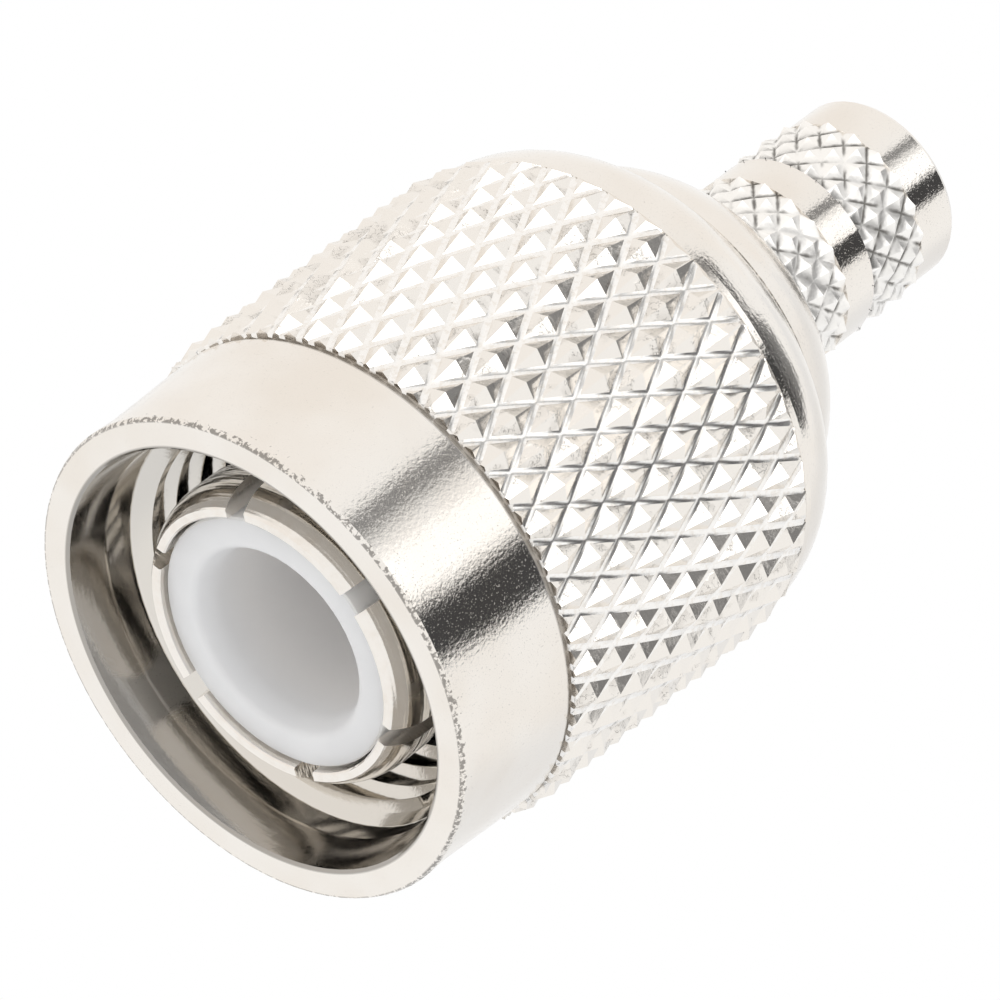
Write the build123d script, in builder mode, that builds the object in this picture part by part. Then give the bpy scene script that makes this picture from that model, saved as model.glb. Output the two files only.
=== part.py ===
from build123d import *
import math
import os

os.makedirs("parts", exist_ok=True)

# Frame: +Z runs along the plug from the mating face (z = 0) to the cable end, mm.

# Coupling nut, outside
nut_face_r = 6.555
nut_rim_r = 6.62
nut_rim_z = 0.12
nut_waist_r = 6.588
nut_waist_z = 1.00
collar_end_r = 6.69
collar_end_z = 3.86
recess_r = 6.60
grip_r = 7.00
grip_start_r = 6.88
grip_start_z = 4.00
grip_chamfer_z = 0.12
grip_end_z = 12.58
shoulder_r = 6.73
shoulder_z = 12.97
bend_z = 13.15
tail_r = 6.27
tail_z = 14.40
nut_end_r = 5.52
nut_end_z = 15.10

# Diamond knurl of the grip and of the crimp post
grip_grooves = 44
grip_axial_pitch = 1.893
grip_crossing_deg = 83.4
grip_crossing_z = 10.25
grip_root_r = 6.70
post_grooves = 20
post_axial_pitch = 0.90
post_crossing_deg = 58.0
post_crossing_z = 19.05
post_knurl_r = 2.66
post_knurl_root_r = 2.46

# Coupling nut, inside: mouth, thread zone, relief and rear bearing
mouth_r = 5.79
mouth_edge = 0.06
ridge_r = 5.57
ridge_z = 1.09
thread_major_r = 5.56
relief_r = 5.70
relief_z = 7.70
lip_z = 10.60

# Float of the nut between the flange and the retaining ring
float_play = 0.30
stop_gap = 0.02

# Body
neck_r = 3.90
bearing_clear = 0.07
flange_step = 0.05
flange_front_z = 8.70
flange_back_z = lip_z - float_play - stop_gap
body_end_z = 15.25

# Crimp post: spigot in the body, domed hub behind the nut, hollow post with two knurled bands
hub_r = 5.30
hub_edge = 0.10
hub_mid_r = 4.64
hub_mid_z = 16.60
hub_back_r = 3.60
hub_back_z = 17.55
post_root_z = 17.75
post_neck_r = 2.58
post_band_r = 2.59
post_end_r = 2.52
post_fillet = 0.30
band_1_z = 18.30
band_1_end_z = 19.95
band_2_z = 21.00
band_2_end_z = 23.05
post_end_z = 24.45
post_edge = 0.15
cable_bore_r = 1.95
cable_bore_chamfer = 0.15

# Retaining ring, an open snap ring
ring_t = 0.50
ring_z = 12.00
ring_inner_r = 3.50
ring_outer_r = 4.42
ring_gap = 1.20
ring_radial_clear = 0.07
ring_axial_clear = 0.05

# Spring contact with six slots
finger_tip_z = 0.75
finger_tip_r = 3.80
finger_edge = 0.04
finger_inner_r = 3.52
bulge_r = 4.14
bulge_z = 1.60
bulge_end_z = 2.45
stem_r = 3.92
stem_z = 2.95
slot_count = 6
slot_w = 0.60
slot_cut = 3.00
slot_deg = 35.6
slot_end_z = 6.60
seat_r = 4.05
seat_z = 7.40
contact_end_z = 9.90

# Insulator
insulator_front_z = 0.93
insulator_r = 3.45
insulator_edge = 0.05
dielectric_bore_r = 2.38
dielectric_entry_r = 2.60
dielectric_entry_z = 1.50
dielectric_bore_z = 6.80
pin_hole_r = 1.10
spigot_r = 3.00
spigot_end_z = 12.60

# Gasket, seated on the flange around the contact
gasket_front_z = 7.85
gasket_width = 0.90
gasket_chamfer = 0.15

# Sizes that follow from the clearances and the pieces they seat on
gasket_r = seat_r + gasket_width
flange_r = gasket_r + flange_step
nut_bearing_r = neck_r + bearing_clear
nut_groove_r = ring_outer_r + ring_radial_clear
nut_groove_z = ring_z - ring_axial_clear
nut_groove_end_z = ring_z + ring_t + ring_axial_clear
body_groove_r = ring_inner_r - ring_radial_clear
body_groove_z = ring_z - float_play - stop_gap
body_groove_end_z = ring_z + ring_t + stop_gap


def on_ring(radius, degrees, z):
    """Point at a radius, an angle about Z and a height."""
    a = math.radians(degrees)
    return (radius * math.cos(a), radius * math.sin(a), z)


def diamond_knurl(peak_r, root_r, z_low, z_high, grooves, axial_pitch, crossing_deg, crossing_z):
    """Solid bar whose surface is two crossing helical groove families that leave pyramids."""
    half_turn = 180.0 / grooves
    half_rise = axial_pitch / 2
    first = math.floor((z_low - crossing_z) / half_rise)
    last = math.ceil((z_high - crossing_z) / half_rise)
    rows = []
    for k in range(first, last + 1):
        row = []
        for j in range(2 * grooves):
            radius = root_r if (j + k) % 2 == 0 else peak_r
            row.append(on_ring(radius, crossing_deg + j * half_turn, crossing_z + k * half_rise))
        rows.append(row)
    faces = [Face(Wire.make_polygon(rows[0], close=True)), Face(Wire.make_polygon(rows[-1], close=True))]
    for k in range(len(rows) - 1):
        for j in range(2 * grooves):
            n = (j + 1) % (2 * grooves)
            a, b, c, d = rows[k][j], rows[k][n], rows[k + 1][n], rows[k + 1][j]
            if (j + k + first) % 2 == 0:
                corners = [(a, b, c), (a, c, d)]
            else:
                corners = [(a, b, d), (b, c, d)]
            for triangle in corners:
                faces.append(Face(Wire.make_polygon(triangle, close=True)))
    return Solid(Shell(faces))


def faceted_bar(profile, sides, first_deg):
    """Solid bar with flat sides through a polygon at each radius and height of the profile."""
    turn = 360.0 / sides
    rings = []
    for radius, z in profile:
        rings.append([on_ring(radius, first_deg + k * turn, z) for k in range(sides)])
    faces = [Face(Wire.make_polygon(rings[0], close=True)), Face(Wire.make_polygon(rings[-1], close=True))]
    for low, high in zip(rings, rings[1:]):
        for k in range(sides):
            n = (k + 1) % sides
            faces.append(Face(Wire.make_polygon((low[k], low[n], high[n], high[k]), close=True)))
    return Solid(Shell(faces))


grip_envelope = faceted_bar(
    [
        (grip_start_r, grip_start_z), (grip_r + 0.05, grip_start_z + grip_chamfer_z),
        (grip_r + 0.05, grip_end_z - 0.07), (shoulder_r, shoulder_z),
    ],
    2 * grip_grooves, grip_crossing_deg,
)
grip_knurl = diamond_knurl(
    grip_r, grip_root_r, grip_start_z, shoulder_z,
    grip_grooves, grip_axial_pitch, grip_crossing_deg, grip_crossing_z,
)
band_1_knurl = diamond_knurl(
    post_knurl_r, post_knurl_root_r, band_1_z, band_1_end_z,
    post_grooves, post_axial_pitch, post_crossing_deg, post_crossing_z,
)
band_2_knurl = diamond_knurl(
    post_knurl_r, post_knurl_root_r, band_2_z, band_2_end_z,
    post_grooves, post_axial_pitch, post_crossing_deg, post_crossing_z,
)

# Coupling nut: knurled grip with chamfered ends, then the turned collar and shoulder
with BuildPart() as coupling_nut:
    add(grip_knurl)
    add(grip_envelope, mode=Mode.INTERSECT)
    with BuildSketch(Plane.XZ):
        with BuildLine():
            Polyline(
                (nut_end_r, nut_end_z), (0, nut_end_z), (0, 0), (nut_face_r, 0), (nut_rim_r, nut_rim_z),
                (nut_waist_r, nut_waist_z), (collar_end_r, collar_end_z),
                (recess_r, collar_end_z + 0.04), (recess_r, grip_start_z),
                (grip_root_r - 0.02, grip_start_z), (grip_root_r - 0.02, shoulder_z - 0.02),
                (shoulder_r, shoulder_z), (shoulder_r, bend_z),
            )
            ThreePointArc((shoulder_r, bend_z), (tail_r, tail_z), (nut_end_r, nut_end_z))
        make_face()
    revolve(axis=Axis.Z)
    with BuildSketch(Plane.XZ):
        with BuildLine():
            Polyline(
                (0, -1), (mouth_r + mouth_edge, -1), (mouth_r + mouth_edge, 0), (mouth_r, mouth_edge),
                (ridge_r, ridge_z), (thread_major_r, ridge_z + 0.05), (thread_major_r, relief_z),
                (relief_r, relief_z + 0.14), (relief_r, lip_z), (nut_bearing_r, lip_z),
                (nut_bearing_r, nut_groove_z), (nut_groove_r, nut_groove_z),
                (nut_groove_r, nut_groove_end_z), (nut_bearing_r, nut_groove_end_z),
                (nut_bearing_r, nut_end_z + 1), (0, nut_end_z + 1), (0, -1),
            )
        make_face()
    revolve(axis=Axis.Z, mode=Mode.SUBTRACT)
coupling_nut.part.label = "coupling_nut"
export_step(coupling_nut.part, "parts/coupling_nut.step")

# Body: flange and bearing neck with the ring groove, bored through for the insulator and the post
with BuildPart() as connector_body:
    with BuildSketch(Plane.XZ):
        with BuildLine():
            Polyline(
                (spigot_r, flange_back_z), (spigot_r, contact_end_z), (seat_r, contact_end_z),
                (seat_r, flange_front_z), (flange_r - 0.1, flange_front_z), (flange_r, flange_front_z + 0.1),
                (flange_r, flange_back_z - 0.1), (flange_r - 0.1, flange_back_z),
                (neck_r, flange_back_z), (neck_r, body_groove_z), (body_groove_r, body_groove_z),
                (body_groove_r, body_groove_end_z), (neck_r, body_groove_end_z),
                (neck_r, body_end_z), (spigot_r, body_end_z), (spigot_r, flange_back_z),
            )
        make_face()
    revolve(axis=Axis.Z)
connector_body.part.label = "connector_body"
export_step(connector_body.part, "parts/connector_body.step")

# Crimp post: two knurled bands, then the turned spigot, hub and post, bored for the cable
with BuildPart() as crimp_sleeve:
    add(band_1_knurl)
    add(band_2_knurl)
    with BuildSketch(Plane.XZ):
        with Locations((0, (band_1_z + band_1_end_z) / 2)):
            Rectangle(2 * (post_knurl_r + 0.5), band_1_end_z - band_1_z)
        with Locations((0, (band_2_z + band_2_end_z) / 2)):
            Rectangle(2 * (post_knurl_r + 0.5), band_2_end_z - band_2_z)
        split(bisect_by=Plane.YZ, keep=Keep.TOP)
    revolve(axis=Axis.Z, mode=Mode.INTERSECT)
    with BuildSketch(Plane.XZ):
        with BuildLine():
            Polyline(
                (0, post_end_z), (0, spigot_end_z), (spigot_r, spigot_end_z), (spigot_r, body_end_z),
                (hub_r - hub_edge, body_end_z), (hub_r, body_end_z + hub_edge),
            )
            ThreePointArc((hub_r, body_end_z + hub_edge), (hub_mid_r, hub_mid_z), (hub_back_r, hub_back_z))
            Line((hub_back_r, hub_back_z), (post_neck_r + post_fillet, post_root_z))
            RadiusArc(
                (post_neck_r + post_fillet, post_root_z), (post_neck_r, post_root_z + post_fillet),
                post_fillet,
            )
            Polyline(
                (post_neck_r, post_root_z + post_fillet), (post_neck_r, band_1_z),
                (post_knurl_root_r - 0.02, band_1_z), (post_knurl_root_r - 0.02, band_1_end_z),
                (post_band_r, band_1_end_z), (post_band_r, band_2_z),
                (post_knurl_root_r - 0.02, band_2_z), (post_knurl_root_r - 0.02, band_2_end_z),
                (post_end_r, band_2_end_z), (post_end_r, post_end_z - post_edge),
                (post_end_r - 0.4 * post_edge, post_end_z - 0.3 * post_edge),
                (post_end_r - post_edge, post_end_z), (0, post_end_z),
            )
        make_face()
    revolve(axis=Axis.Z)
    with BuildSketch(Plane.XZ):
        with BuildLine():
            Polyline(
                (0, spigot_end_z - 1), (cable_bore_r, spigot_end_z - 1),
                (cable_bore_r, post_end_z - cable_bore_chamfer),
                (cable_bore_r + cable_bore_chamfer, post_end_z),
                (cable_bore_r + cable_bore_chamfer, post_end_z + 1), (0, post_end_z + 1),
                (0, spigot_end_z - 1),
            )
        make_face()
    revolve(axis=Axis.Z, mode=Mode.SUBTRACT)
crimp_sleeve.part.label = "crimp_sleeve"
export_step(crimp_sleeve.part, "parts/crimp_sleeve.step")

# Retaining ring: flat open ring held in the groove of the nut
with BuildPart() as retaining_ring:
    with BuildSketch(Plane.XY.offset(ring_z)):
        Circle(ring_outer_r)
        Circle(ring_inner_r, mode=Mode.SUBTRACT)
        with Locations((ring_outer_r, 0)):
            Rectangle(2 * (ring_outer_r - ring_inner_r) + 0.6, ring_gap, mode=Mode.SUBTRACT)
    extrude(amount=ring_t)
retaining_ring.part.label = "retaining_ring"
export_step(retaining_ring.part, "parts/retaining_ring.step")

# Outer contact: spring sleeve, six slots from the tip
with BuildPart() as outer_contact:
    with BuildSketch(Plane.XZ):
        with BuildLine():
            Polyline(
                (finger_inner_r, contact_end_z), (finger_inner_r, finger_tip_z + finger_edge),
                (finger_inner_r + finger_edge, finger_tip_z), (finger_tip_r - finger_edge, finger_tip_z),
                (finger_tip_r, finger_tip_z + finger_edge),
            )
            ThreePointArc(
                (finger_tip_r, finger_tip_z + finger_edge),
                (bulge_r - 0.11, (finger_tip_z + bulge_z) / 2), (bulge_r, bulge_z + 0.1),
            )
            Line((bulge_r, bulge_z + 0.1), (bulge_r, bulge_end_z))
            Polyline(
                (bulge_r, bulge_end_z), (stem_r, stem_z), (stem_r, seat_z - 0.13),
                (seat_r, seat_z), (seat_r, contact_end_z), (finger_inner_r, contact_end_z),
            )
        make_face()
    revolve(axis=Axis.Z)
    with BuildSketch(Plane.XY):
        with PolarLocations(finger_inner_r, slot_count, start_angle=slot_deg):
            Rectangle(slot_cut, slot_w)
    extrude(amount=slot_end_z, mode=Mode.SUBTRACT)
outer_contact.part.label = "outer_contact"
export_step(outer_contact.part, "parts/outer_contact.step")

# Insulator: wide front bore with a tapered entry, pin hole, rear spigot in the body
with BuildPart() as insulator:
    with BuildSketch(Plane.XZ):
        with BuildLine():
            Polyline(
                (dielectric_bore_r, dielectric_bore_z), (dielectric_bore_r, dielectric_entry_z),
                (dielectric_entry_r, insulator_front_z), (insulator_r - insulator_edge, insulator_front_z),
                (insulator_r, insulator_front_z + insulator_edge), (insulator_r, slot_end_z + 0.4),
                (finger_inner_r, slot_end_z + 0.5), (finger_inner_r, contact_end_z),
                (spigot_r, contact_end_z), (spigot_r, spigot_end_z), (pin_hole_r, spigot_end_z),
                (pin_hole_r, dielectric_bore_z), (dielectric_bore_r, dielectric_bore_z),
            )
        make_face()
    revolve(axis=Axis.Z)
insulator.part.label = "insulator"
export_step(insulator.part, "parts/insulator.step")

# Gasket: soft ring on the front of the flange, around the contact
with BuildPart() as gasket:
    with BuildSketch(Plane.XZ):
        with Locations(((seat_r + gasket_r) / 2, (gasket_front_z + flange_front_z) / 2)):
            Rectangle(gasket_r - seat_r, flange_front_z - gasket_front_z)
        chamfer(vertices(), length=gasket_chamfer)
    revolve(axis=Axis.Z)
gasket.part.label = "gasket"
export_step(gasket.part, "parts/gasket.step")
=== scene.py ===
import math

import bmesh
import bpy
from mathutils import Matrix, Vector


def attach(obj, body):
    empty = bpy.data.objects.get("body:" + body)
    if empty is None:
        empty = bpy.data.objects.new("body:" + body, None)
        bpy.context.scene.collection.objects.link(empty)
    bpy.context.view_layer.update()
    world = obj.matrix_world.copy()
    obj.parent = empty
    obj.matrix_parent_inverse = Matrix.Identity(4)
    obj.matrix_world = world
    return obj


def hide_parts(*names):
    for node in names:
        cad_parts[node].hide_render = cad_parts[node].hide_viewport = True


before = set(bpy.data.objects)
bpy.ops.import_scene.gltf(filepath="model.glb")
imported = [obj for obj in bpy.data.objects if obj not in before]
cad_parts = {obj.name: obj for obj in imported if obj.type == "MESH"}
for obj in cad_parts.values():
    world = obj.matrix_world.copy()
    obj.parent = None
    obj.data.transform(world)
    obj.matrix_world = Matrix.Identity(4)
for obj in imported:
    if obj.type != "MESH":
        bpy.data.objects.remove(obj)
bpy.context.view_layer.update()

MM = 0.001

# Heights are over the mating rim and radii are from the plug's axis, both in millimetres.

# Knurl of the grip
grip_radius = 7.0
grip_root_radius = 6.7
grip_start = 3.95
grip_end = 12.97
groove_width = 0.22

# Knurl of the crimp post
post_bands = ((18.30, 19.95), (21.00, 23.05))
post_radius = 2.66
post_root_radius = 2.46
post_ridge_width = 0.28

# Coupling thread
thread_pitch = 0.907
thread_major = 5.56
thread_minor = 5.10
thread_start = 2.05
thread_end = 7.65
thread_steps = 96
lead_start = 1.75

# Where the coupling nut shows wear, and where shade is painted on it: outside past one radius, inside within
# another
outside_radius = 6.50
rim_wear_end = 0.4
recess_start = 3.80
recess_end = 3.98
inside_radius = 5.85
inside_end = 12.0
taper_end = 1.05

# Where a turned piece is curved: from one height to another, past a radius
shoulder_start = 13.1
shoulder_inner_radius = 5.4
hub_start = 15.3
hub_end = 18.2
hub_inner_radius = 2.57
bulge_start = 0.8
bulge_end = 1.75
bulge_inner_radius = 3.79

# Tapered entry of the insulator's bore, between two radii
entry_inner_radius = 2.2
entry_outer_radius = 3.2
entry_end = 2.0
entry_rounding = 0.16
bore_tint_start = 0.9

# Pitches of the turning lines
fine_feed = 0.11
coarse_feed = 0.29

# Bends in degrees, past which an edge stays sharp
lathe_bend = 5.0
curve_bend = 20.0
axis_bend = 24.0
thread_bend = 30.0
tooth_bend = 4.0
hollow_bend = 32.0
bead_bend = 75.0


class Value:
    """A shader output that takes part in ordinary Python sums."""

    def __init__(self, finish, socket):
        self.finish = finish
        self.socket = socket

    def _math(self, operation, *others, swap=False):
        terms = [self, *others]
        if swap:
            terms.reverse()
        inputs = dict(enumerate(terms))
        return self.finish.node("ShaderNodeMath", {"operation": operation}, inputs)["Value"]

    def __add__(self, other):
        return self._math("ADD", other)

    def __radd__(self, other):
        return self._math("ADD", other)

    def __sub__(self, other):
        return self._math("SUBTRACT", other)

    def __rsub__(self, other):
        return self._math("SUBTRACT", other, swap=True)

    def __mul__(self, other):
        return self._math("MULTIPLY", other)

    def __rmul__(self, other):
        return self._math("MULTIPLY", other)

    def __neg__(self):
        return self._math("MULTIPLY", -1.0)

    def root(self):
        return self._math("SQRT")

    def sine(self):
        return self._math("SINE")

    def size(self):
        return self._math("ABSOLUTE")

    def smallest(self, other):
        return self._math("MINIMUM", other)

    def between(self, low, high, out_low=0.0, out_high=1.0):
        """Smooth step from out_low below low to out_high above high."""
        made = self.finish.node(
            "ShaderNodeMapRange", {"interpolation_type": "SMOOTHSTEP", "clamp": True},
            {"Value": self, "From Min": low, "From Max": high, "To Min": out_low, "To Max": out_high},
        )
        return made["Result"]


class Made:
    """A node that has been added, read by the names or the numbers of its outputs."""

    def __init__(self, finish, node):
        self.finish = finish
        self.node = node

    def __getitem__(self, output):
        return Value(self.finish, self.node.outputs[output])


class Finish:
    """A node tree under construction, of a material or of the world."""

    def __init__(self, tree):
        self.tree = tree
        self.tree.nodes.clear()

    def node(self, kind, settings=None, inputs=None):
        """Adds a node. Its settings come first, then the links or the constants of its sockets."""
        made = self.tree.nodes.new(kind)
        for name, value in (settings or {}).items():
            setattr(made, name, value)
        for name, value in (inputs or {}).items():
            socket = made.inputs[name]
            if isinstance(value, Value):
                self.tree.links.new(value.socket, socket)
            elif socket.type == "RGBA":
                socket.default_value = (*value, 1.0)
            else:
                socket.default_value = value
        return Made(self, made)

    def noise(self, place, scale, detail, roughness=0.5):
        return self.node(
            "ShaderNodeTexNoise", {"noise_dimensions": "3D"},
            {"Vector": place, "Scale": scale, "Detail": detail, "Roughness": roughness},
        )["Fac"]

    def blend(self, factor, first, second):
        """The first colour where the factor is 0, and the second where it is 1."""
        return self.node(
            "ShaderNodeMix", {"data_type": "RGBA", "blend_type": "MIX"},
            {0: factor, 6: first, 7: second},
        )[2]

    def place(self):
        """Object coordinates in millimetres."""
        metres = self.node("ShaderNodeTexCoord")["Object"]
        scaled = self.node("ShaderNodeVectorMath", {"operation": "SCALE"}, {0: metres, "Scale": 1 / MM})
        return scaled["Vector"]

    def height(self, place):
        """Height over the rim."""
        return self.node("ShaderNodeSeparateXYZ", None, {0: place})["Z"]

    def radius(self, place):
        """Distance from the plug's axis."""
        parts = self.node("ShaderNodeSeparateXYZ", None, {0: place})
        x = parts["X"]
        y = parts["Y"]
        return (x * x + y * y).root()

    def bump(self, height, depth):
        """Normal of a relief, where a height of 1 stands for the depth in millimetres."""
        return self.node(
            "ShaderNodeBump", None, {"Height": height, "Strength": 1.0, "Distance": depth * MM},
        )["Normal"]

    def surface(self, **sockets):
        """The surface's shader, with an underscore for each space in a socket's name."""
        inputs = {name.replace("_", " "): value for name, value in sockets.items()}
        shader = self.node("ShaderNodeBsdfPrincipled", None, inputs)
        self.node("ShaderNodeOutputMaterial", None, {"Surface": shader["BSDF"]})


def new_finish(name):
    material = bpy.data.materials.new(name)
    material.use_nodes = True
    return material, Finish(material.node_tree)


# Colours of the nickel plate
nickel = (0.90, 0.865, 0.82)
nickel_warm = (0.86, 0.81, 0.75)
nickel_shade = (0.62, 0.58, 0.53)
# Painted shade at the roots of the grip's teeth
nickel_root_shade = (0.40, 0.37, 0.33)
# Dark nickel: rubbed wear at the rim and cracks on the teeth, and painted shade in the nut's recess and mouth
# and in the post's pits
nickel_wear_and_shade = (0.115, 0.106, 0.095)
# Painted shade inside the nut's mouth and on the contact's outer flanks
nickel_inside_shade = (0.74, 0.71, 0.665)
# Whiter plate on the post's beads, a painted highlight
bead_highlight_white = (0.98, 0.965, 0.94)
# Whiter plate in the grip's grooves, a painted sheen
groove_sheen_white = (0.97, 0.955, 0.935)

# Colours of the insulator, the gasket and the ring
polymer_white = (0.80, 0.81, 0.83)
polymer_cloud = (0.765, 0.775, 0.795)
polymer_bore = (0.88, 0.868, 0.86)
# Whiter insulator wall, painted light where it sits in shade behind the contact's slots
polymer_wall_light = (0.97, 0.97, 0.965)
rubber_dark = (0.045, 0.045, 0.047)
rubber_bloom = (0.065, 0.065, 0.066)
bronze_light = (0.62, 0.46, 0.24)
bronze_dark = (0.52, 0.38, 0.20)


def turning_lines(along, feed):
    """Waves that the lathe's feed leaves along a surface."""
    return (along * (2 * math.pi / feed)).sine()


def turned_nickel(name, worn_and_shaded=False):
    """Bright nickel plate over turned brass: a fine pebbly grain, faint turning lines, a warm cloud.

    For the coupling nut it adds a rubbed rim edge, which is wear, and painted shade in the recess beside the
    grip and over the mouth, darkest on its taper.
    """
    material, f = new_finish(name)
    place = f.place()
    z = f.height(place)
    radius = f.radius(place)
    cloud = f.noise(place, 0.35, 2.0).between(0.35, 0.7)
    grain = f.noise(place, 9.0, 3.0, 0.6)
    pits = f.noise(place, 26.0, 1.0).between(0.68, 0.76)
    lines = turning_lines(z + radius * 0.5, fine_feed)
    colour = f.blend(cloud, nickel, nickel_warm)
    colour = f.blend(pits * 0.4, colour, nickel_shade)
    rough = 0.07 + grain * 0.06 + pits * 0.12
    height = grain + lines * 0.04 - pits * 0.3
    if worn_and_shaded:
        outside = radius.between(outside_radius, outside_radius + 0.06)
        near_rim = outside * z.between(rim_wear_end, rim_wear_end + 0.1, 1.0, 0.0)
        fading = z.between(0.0, 0.26, 0.09, -0.16)
        rubbed = (grain + fading + cloud * 0.06).between(0.52, 0.62) * near_rim
        # Painted shade in the recess between the collar and the grip, which is also made rougher there
        past_collar = z.between(recess_start, recess_start + 0.07)
        recess = past_collar * z.between(recess_end, recess_end + 0.08, 1.0, 0.0) * outside
        # Painted shade over the nut's inside, darker still on the mouth's taper; the grain's relief is also
        # weaker inside
        inner_wall = radius.between(inside_radius, inside_radius + 0.07, 1.0, 0.0)
        inside = inner_wall * z.between(inside_end, inside_end + 1.0, 1.0, 0.0)
        taper = inside * z.between(taper_end, taper_end + 0.05, 1.0, 0.0)
        colour = f.blend(inside, colour, nickel_inside_shade)
        colour = f.blend(taper * 0.5, colour, nickel_wear_and_shade)
        colour = f.blend(rubbed * 0.7, colour, nickel_wear_and_shade)
        colour = f.blend(recess * 0.5, colour, nickel_wear_and_shade)
        rough = rough + rubbed * 0.15 + recess * 0.2
        height = height * (1 - inside * 0.75)
    f.surface(Base_Color=colour, Metallic=1.0, Roughness=rough, Normal=f.bump(height, 0.006))
    return material


def knurled_nickel(name):
    """The plate on the grip's teeth: clean flanks, some of them torn and crackled by the knurling wheel, with
    painted shade towards the roots in patches.
    """
    material, f = new_finish(name)
    place = f.place()
    radius = f.radius(place)
    depth = radius.between(grip_root_radius, grip_radius)
    patch_noise = f.noise(place, 1.3, 2.0)
    some = patch_noise.between(0.52, 0.60)
    grain = f.noise(place, 9.0, 2.0)
    torn = f.noise(place, 4.2, 3.0, 0.6)
    crack = (torn - 0.5).size().between(0.004, 0.016, 1.0, 0.0) * some
    # Painted shade towards the roots of the teeth, in patches, which are also rougher
    root_shade = (1 - depth) * some
    colour = f.blend(root_shade * 0.25, nickel, nickel_root_shade)
    colour = f.blend(crack * 0.5, colour, nickel_wear_and_shade)
    rough = 0.10 + grain * 0.08 + root_shade * 0.15
    height = grain * 0.3 + torn * some * 0.8 - crack * 0.4
    f.surface(Base_Color=colour, Metallic=1.0, Roughness=rough, Normal=f.bump(height, 0.007))
    return material


def groove_nickel(name):
    """The plate in the knurl's grooves, whiter in patches than the plate elsewhere: a painted sheen."""
    material, f = new_finish(name)
    grain = f.noise(f.place(), 7.0, 2.0)
    colour = f.blend(grain.between(0.45, 0.7), groove_sheen_white, nickel)
    rough = 0.20 + grain * 0.10
    f.surface(Base_Color=colour, Metallic=1.0, Roughness=rough, Normal=f.bump(grain, 0.002))
    return material


def beaded_nickel(name):
    """The post's small teeth, rounded like beads by the plate, painted whiter as a highlight, with painted
    shade in patches in the pits between them.
    """
    material, f = new_finish(name)
    place = f.place()
    radius = f.radius(place)
    grain = f.noise(place, 6.0, 2.0)
    shade = f.noise(place, 1.6, 1.0).between(0.40, 0.60)
    pit_top = post_root_radius + (post_radius - post_root_radius) * 0.36
    # Painted shade in the pits between the beads, in patches, which are also rougher
    pit_shade = (radius + grain * 0.05).between(post_root_radius + 0.02, pit_top, 1.0, 0.0) * shade
    colour = f.blend(pit_shade * 0.85, bead_highlight_white, nickel_wear_and_shade)
    rough = 0.36 + pit_shade * 0.2
    f.surface(Base_Color=colour, Metallic=1.0, Roughness=rough, Normal=f.bump(grain, 0.008))
    return material


def contact_plate(name):
    """Spring contact: bright plate with turning lines round the fingers, and painted shade in streaks on
    their outer flanks.
    """
    material, f = new_finish(name)
    place = f.place()
    z = f.height(place)
    radius = f.radius(place)
    grain = f.noise(place, 9.0, 3.0, 0.6)
    streak = f.noise(place, 2.0, 3.0, 0.6)
    fine_lines = turning_lines(z, fine_feed)
    coarse_lines = (z * (2 * math.pi / coarse_feed) + 1.0).sine()
    colour = f.blend(streak.between(0.4, 0.75), nickel, nickel_warm)
    outer = radius.between(bulge_inner_radius + 0.01, bulge_inner_radius + 0.13)
    # Painted shade in streaks on the fingers' outer flanks, inside the nut
    flank = z.between(1.0, 1.3) * outer * streak.between(0.3, 0.6, 0.6, 1.0)
    colour = f.blend(flank, colour, nickel_inside_shade)
    rough = 0.10 + grain * 0.08
    height = (fine_lines * 0.5 + coarse_lines) * 0.5 + grain * 0.6
    f.surface(Base_Color=colour, Metallic=1.0, Roughness=rough, Normal=f.bump(height, 0.003))
    return material


def fluoropolymer(name):
    """White insulator, waxy and slightly cool, warmer in its bore, with a faint grain, and whiter on its
    outer wall as painted light for the wall seen in shade through the contact's slots.
    """
    material, f = new_finish(name)
    place = f.place()
    z = f.height(place)
    radius = f.radius(place)
    cloud = f.noise(place, 0.6, 2.0)
    grain = f.noise(place, 14.0, 2.0)
    bore = radius.between(3.00, 3.10, 1.0, 0.0) * z.between(bore_tint_start, bore_tint_start + 1.9)
    # Painted light on the outer wall, which sits in shade behind the contact's slots
    outer_wall_light = radius.between(3.38, 3.43)
    colour = f.blend(cloud.between(0.35, 0.7), polymer_white, polymer_cloud)
    colour = f.blend(bore, colour, polymer_bore)
    colour = f.blend(outer_wall_light, colour, polymer_wall_light)
    glow = 1.4 * MM
    f.surface(
        Base_Color=colour, Roughness=0.42 + grain * 0.12, IOR=1.38,
        Subsurface_Weight=0.6, Subsurface_Radius=(glow, glow, glow), Subsurface_Scale=1.0,
        Normal=f.bump(grain, 0.0015),
    )
    return material


def seal_rubber(name):
    """Dark grey seal rubber, matt, with a little bloom."""
    material, f = new_finish(name)
    grain = f.noise(f.place(), 8.0, 3.0)
    colour = f.blend(grain.between(0.3, 0.7), rubber_dark, rubber_bloom)
    f.surface(Base_Color=colour, Roughness=0.55 + grain * 0.1, Normal=f.bump(grain, 0.003))
    return material


def spring_bronze(name):
    """Plain bronze of the retaining ring, clouded by handling."""
    material, f = new_finish(name)
    grain = f.noise(f.place(), 7.0, 3.0)
    colour = f.blend(grain.between(0.3, 0.7), bronze_light, bronze_dark)
    rough = 0.28 + grain * 0.1
    f.surface(Base_Color=colour, Metallic=1.0, Roughness=rough, Normal=f.bump(grain, 0.003))
    return material


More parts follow.
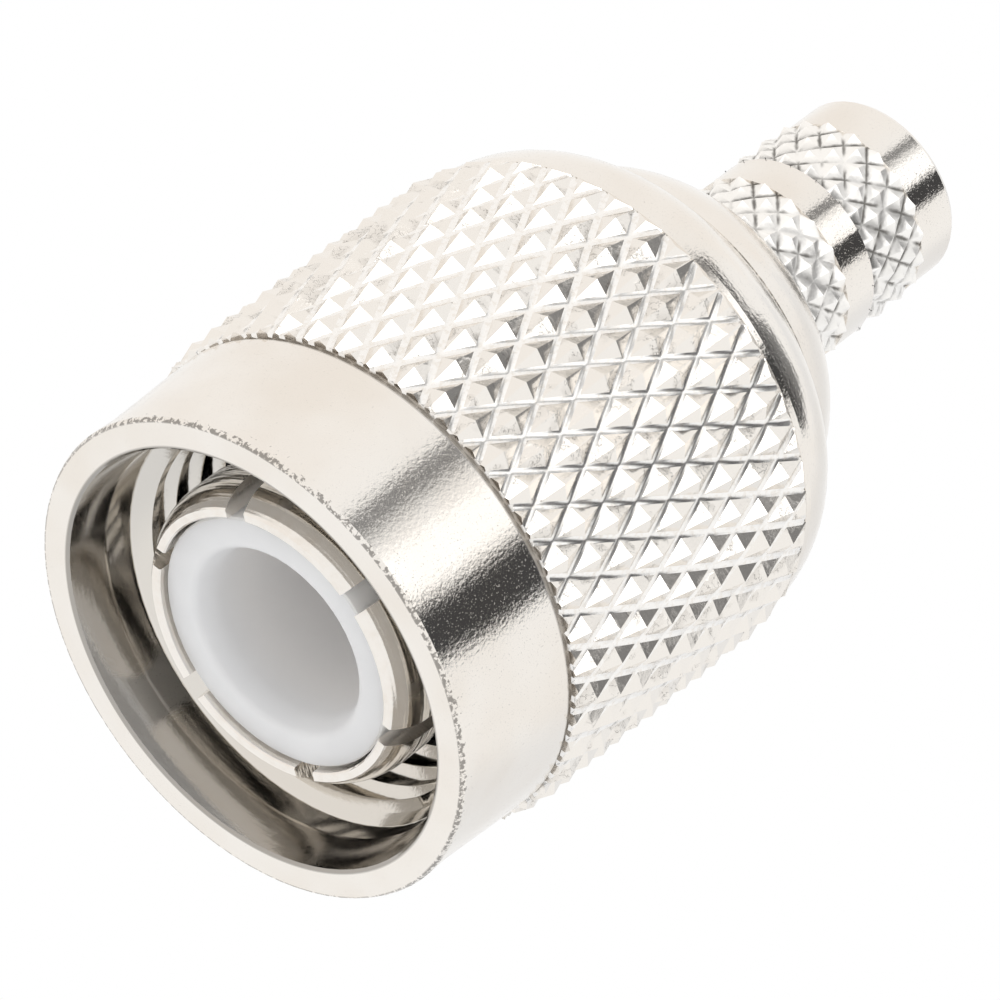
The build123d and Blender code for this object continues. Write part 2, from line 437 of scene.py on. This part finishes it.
# The nut's finish carries rubbed wear and painted shade
plate_nut = turned_nickel("bright nickel, turned", worn_and_shaded=True)
plate_groove = groove_nickel("bright nickel, knurl grooves")
plate_body = turned_nickel("bright nickel, body")
plate_knurl = knurled_nickel("bright nickel, grip knurl")
plate_post_knurl = beaded_nickel("bright nickel, post knurl")
plate_contact = contact_plate("bright nickel, spring contact")
white_insulator = fluoropolymer("white fluoropolymer")
dark_rubber = seal_rubber("dark seal rubber")
bronze = spring_bronze("spring bronze")


def finish_piece(name, bm, body, materials, replaced=()):
    """Makes a piece of a bmesh, in its own place, and hangs it on its body."""
    mesh = bpy.data.meshes.new(name)
    bm.to_mesh(mesh)
    bm.free()
    for material in materials:
        mesh.materials.append(material)
    piece = bpy.data.objects.new(name, mesh)
    bpy.context.scene.collection.objects.link(piece)
    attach(piece, body)
    if replaced:
        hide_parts(*replaced)


def merged_copy(node):
    """A CAD node's surface with its loose triangles joined up."""
    bm = bmesh.new()
    bm.from_mesh(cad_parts[node].data)
    bmesh.ops.remove_doubles(bm, verts=bm.verts[:], dist=0.0005 * MM)
    bmesh.ops.dissolve_degenerate(bm, dist=0.0002 * MM, edges=bm.edges[:])
    return bm


def height_and_radius(point):
    """A point's height over the rim and its distance from the axis, in millimetres."""
    return point.z / MM, math.hypot(point.x, point.y) / MM


def face_lies(face, zone):
    """Whether a face's middle is in a zone."""
    return zone(*height_and_radius(face.calc_center_median()))


def slope(face):
    """How far a face leans out of the upright, in degrees."""
    return math.degrees(math.asin(max(-1.0, min(1.0, face.normal.z))))


def mark_smooth(bm, degrees):
    """Smooth faces, with the edges that turn by more than the angle kept sharp."""
    limit = math.radians(degrees)
    for face in bm.faces:
        face.smooth = True
    for edge in bm.edges:
        edge.smooth = not (len(edge.link_faces) == 2 and edge.calc_face_angle(0.0) > limit)


def mark_turned(bm, rounded=None):
    """Keeps each lathe corner sharp, also a slight one, and runs smooth round the axis and over curves."""
    for face in bm.faces:
        face.smooth = True
    for edge in bm.edges:
        if len(edge.link_faces) != 2:
            continue
        one, other = edge.link_faces
        curved = rounded and face_lies(one, rounded) and face_lies(other, rounded)
        bent = abs(slope(one) - slope(other)) > (curve_bend if curved else lathe_bend)
        edge.smooth = not (bent or edge.calc_face_angle(0.0) > math.radians(axis_bend))


def dressed(node, body, materials, rounded=None):
    """A turned piece in place of its CAD node."""
    bm = merged_copy(node)
    mark_turned(bm, rounded)
    finish_piece(node + "_dressed", bm, body, materials, (node,))


def knurl_edges(bm, zone, convex, least_bend, least_length):
    """A knurl's ridges or valleys that bend by enough degrees and run for enough millimetres."""
    found = []
    for edge in bm.edges:
        if len(edge.link_faces) != 2 or edge.is_convex != convex:
            continue
        if not all(face_lies(face, zone) for face in edge.link_faces):
            continue
        if edge.calc_face_angle(0.0) > math.radians(least_bend) and edge.calc_length() > least_length * MM:
            found.append(edge)
    return found


def round_over(bm, edges, width, material):
    """Turns each edge into a rounded strip of a width in millimetres."""
    bmesh.ops.bevel(
        bm, geom=edges, offset=width * MM / 2, offset_type="OFFSET", affect="EDGES",
        segments=3, profile=0.5, material=material, clamp_overlap=True, loop_slide=True,
    )


def in_grip(z, radius):
    return grip_start < z < grip_end and radius > grip_root_radius - 0.05


def on_shoulder(z, radius):
    return z > shoulder_start and radius > shoulder_inner_radius


def dressed_nut():
    """Coupling nut: turned collar and shoulder, and the grip's teeth with hollow grooves between them."""
    bm = merged_copy("coupling_nut")
    for face in bm.faces:
        face.material_index = 1 if face_lies(face, in_grip) else 0
    valleys = knurl_edges(bm, in_grip, convex=False, least_bend=25.0, least_length=0.3)
    round_over(bm, valleys, groove_width, material=2)
    mark_turned(bm, on_shoulder)
    for edge in bm.edges:
        if len(edge.link_faces) == 2 and any(face.material_index for face in edge.link_faces):
            hollow = all(face.material_index == 2 for face in edge.link_faces)
            edge.smooth = edge.calc_face_angle(0.0) < math.radians(hollow_bend if hollow else tooth_bend)
    materials = [plate_nut, plate_knurl, plate_groove]
    finish_piece("coupling_nut_dressed", bm, "nut", materials, ("coupling_nut",))


def in_band(z, radius):
    return any(start < z < end for start, end in post_bands) and radius > post_root_radius - 0.11


def on_hub(z, radius):
    return hub_start < z < hub_end and radius > hub_inner_radius


def dressed_post():
    """Crimp post: domed hub, smooth lands and two bands of soft, bead-like teeth."""
    bm = merged_copy("crimp_sleeve")
    ridges = knurl_edges(bm, in_band, convex=True, least_bend=15.0, least_length=0.06)
    round_over(bm, ridges, post_ridge_width, material=1)
    mark_turned(bm, on_hub)
    for face in bm.faces:
        face.material_index = 1 if face_lies(face, in_band) else 0
    for edge in bm.edges:
        if len(edge.link_faces) == 2 and all(face.material_index for face in edge.link_faces):
            edge.smooth = edge.calc_face_angle(0.0) < math.radians(bead_bend)
    materials = [plate_body, plate_post_knurl]
    finish_piece("crimp_sleeve_dressed", bm, "body", materials, ("crimp_sleeve",))


def on_finger_bulge(z, radius):
    return bulge_start < z < bulge_end and radius > bulge_inner_radius


def on_entry_ring(edge):
    """Whether an edge runs round the insulator's tapered entry, at one of its corners."""
    one, other = edge.verts
    z, radius = height_and_radius((one.co + other.co) / 2)
    level = abs(one.co.z - other.co.z) < 0.01 * MM
    near = z < entry_end and entry_inner_radius < radius < entry_outer_radius
    return level and near and edge.calc_face_angle(0.0) > math.radians(10.0)


def dressed_insulator():
    """White insulator, with the edges of its tapered entry rounded off."""
    bm = merged_copy("insulator")
    corners = [edge for edge in bm.edges if on_entry_ring(edge)]
    bmesh.ops.bevel(
        bm, geom=corners, offset=entry_rounding * MM, offset_type="OFFSET", affect="EDGES",
        segments=4, profile=0.5, material=0, clamp_overlap=True,
    )
    mark_smooth(bm, axis_bend)
    finish_piece("insulator_dressed", bm, "body", [white_insulator], ("insulator",))


def coupling_thread():
    """Helical turns inside the nut, spun from one flank profile, with a chamfered lead."""
    bm = bmesh.new()
    half_root = thread_pitch * 0.44
    half_crest = thread_pitch * 0.13
    sunk = thread_major + 0.03
    root = thread_major - 0.02
    crest_edge = thread_minor + 0.02
    outline = [
        (sunk, -half_root), (root, -half_root), (crest_edge, -half_crest - 0.02), (thread_minor, -half_crest),
        (thread_minor, half_crest), (crest_edge, half_crest + 0.02), (root, half_root), (sunk, half_root),
    ]
    turns = (thread_end - thread_start) / thread_pitch
    steps = int(turns * thread_steps)
    points = [bm.verts.new((radius * MM, 0, (thread_start + z) * MM)) for radius, z in outline]
    edges = [bm.edges.new(pair) for pair in zip(points, points[1:] + points[:1])]
    bmesh.ops.spin(
        bm, geom=points + edges, cent=(0, 0, 0), axis=(0, 0, 1),
        dvec=(0, 0, (thread_end - thread_start) * MM / steps), angle=turns * 2 * math.pi,
        steps=steps, use_merge=False,
    )
    bmesh.ops.holes_fill(bm, edges=[edge for edge in bm.edges if len(edge.link_faces) < 2], sides=0)
    for vert in bm.verts:
        z, radius = height_and_radius(vert.co)
        lead = min(thread_major - 0.01, thread_major - (z - lead_start))
        if lead > radius:
            vert.co.x *= lead / radius
            vert.co.y *= lead / radius
    bmesh.ops.recalc_face_normals(bm, faces=bm.faces[:])
    mark_smooth(bm, thread_bend)
    finish_piece("coupling_thread", bm, "nut", [plate_nut])


def pale_floor():
    """Floor a hair under the rim. The camera sees it from above only, and light passes it both ways."""
    bm = bmesh.new()
    lowered = Matrix.Translation((0, 0, -0.03 * MM))
    bmesh.ops.create_grid(bm, x_segments=1, y_segments=1, size=0.6, matrix=lowered)
    mesh = bpy.data.meshes.new("floor")
    bm.to_mesh(mesh)
    bm.free()
    material, f = new_finish("pale floor")
    path = f.node("ShaderNodeLightPath")
    behind = f.node("ShaderNodeNewGeometry")["Backfacing"]
    seen = path["Is Camera Ray"] * (1 - behind)
    paint = f.node("ShaderNodeBsdfDiffuse", None, {"Color": (0.86, 0.86, 0.86)})
    clear = f.node("ShaderNodeBsdfTransparent")
    mixed = f.node("ShaderNodeMixShader", None, {0: seen, 1: clear["BSDF"], 2: paint["BSDF"]})
    f.node("ShaderNodeOutputMaterial", None, {"Surface": mixed["Shader"]})
    mesh.materials.append(material)
    floor = bpy.data.objects.new("floor", mesh)
    bpy.context.scene.collection.objects.link(floor)


def studio_world():
    """White room with two dark flags, which the turned metal mirrors as soft-edged bands.

    A direction's turn round the plug and its rise over the floor are in degrees, from the camera's side.
    """
    world = bpy.data.worlds.new("studio")
    bpy.context.scene.world = world
    world.use_nodes = True
    f = Finish(world.node_tree)
    direction = f.node("ShaderNodeTexCoord")["Generated"]
    parts = f.node("ShaderNodeSeparateXYZ", None, {0: direction})
    degrees = 180 / math.pi
    sideways = {0: -parts["X"], 1: -parts["Y"]}
    turn = f.node("ShaderNodeMath", {"operation": "ARCTAN2"}, sideways)["Value"] * degrees
    rise = f.node("ShaderNodeMath", {"operation": "ARCSINE"}, {0: parts["Z"]})["Value"] * degrees

    grey_flag = turn.between(4, 18) * turn.between(21, 25, 1.0, 0.0) * 0.80
    lean = rise.between(44, 54)
    left_edge = (turn + lean * 30).between(-53, -50)
    right_edge = (turn - lean * 50).between(-27, -24, 1.0, 0.0)
    black_flag = left_edge * right_edge * rise.between(52, 62, 0.97, 0.80)
    top = turn.between(-30, -12, 68, 57)
    tall = rise.between(17, 23) * (rise - top).between(0, 4, 1.0, 0.0)
    dark = (grey_flag + black_flag).smallest(0.97) * tall

    warm = turn.between(15, 60) * turn.between(120, 175, 1.0, 0.0)
    cool = turn.between(-178, -145) * turn.between(-125, -95, 1.0, 0.0)
    room = f.blend(warm, (0.985, 0.98, 0.97), (0.98, 0.955, 0.925))
    room = f.blend(cool * 0.6, room, (0.80, 0.81, 0.825))
    mirrored = f.blend(dark, room, (0.03, 0.03, 0.032))
    path = f.node("ShaderNodeLightPath")
    colour = f.blend(path["Is Camera Ray"], mirrored, (1.0, 1.0, 1.0))
    ground = f.node("ShaderNodeBackground", None, {"Color": colour, "Strength": 1.0})
    f.node("ShaderNodeOutputWorld", None, {"Surface": ground["Background"]})


def photo_camera():
    """A long lens in front of the mouth and below the rim's plane, as the photograph was taken."""
    data = bpy.data.cameras.new("camera")
    data.sensor_width = 36.0
    data.lens = 331.25
    data.clip_start = 0.01
    data.clip_end = 10.0
    camera = bpy.data.objects.new("camera", data)
    place = Vector((0.544, -180.184, -126.040)) * MM
    right = Vector((0.60586, -0.47684, 0.63683))
    up = Vector((-0.79557, -0.36313, 0.48497))
    back = Vector((0.0, -0.80047, -0.59937))
    turned = Matrix((right, up, back)).transposed().to_4x4()
    camera.matrix_world = Matrix.Translation(place) @ turned
    bpy.context.scene.collection.objects.link(camera)
    bpy.context.scene.camera = camera


def soft_lamp(name, place, size, power):
    """An area lamp turned towards the grip. Places and sizes are in metres, the power in watts."""
    lamp = bpy.data.lights.new(name, "AREA")
    lamp.shape = "RECTANGLE"
    lamp.size, lamp.size_y = size
    lamp.energy = power
    holder = bpy.data.objects.new(name, lamp)
    holder.location = place
    holder.rotation_mode = "QUATERNION"
    aim = Vector((0, 0, 8.0 * MM))
    holder.rotation_quaternion = (aim - Vector(place)).to_track_quat("-Z", "Y")
    bpy.context.scene.collection.objects.link(holder)


dressed_nut()
dressed_post()
dressed("connector_body", "body", [plate_body])
dressed("outer_contact", "body", [plate_contact], on_finger_bulge)
dressed_insulator()
dressed("gasket", "body", [dark_rubber])
dressed("retaining_ring", "ring", [bronze])
coupling_thread()

pale_floor()
studio_world()
photo_camera()
soft_lamp("low strip", (-0.06, -0.26, 0.045), (0.42, 0.055), 0.12)
soft_lamp("front", (0.055, -0.315, 0.24), (0.12, 0.18), 0.022)
bpy.context.scene.view_settings.view_transform = "Standard"
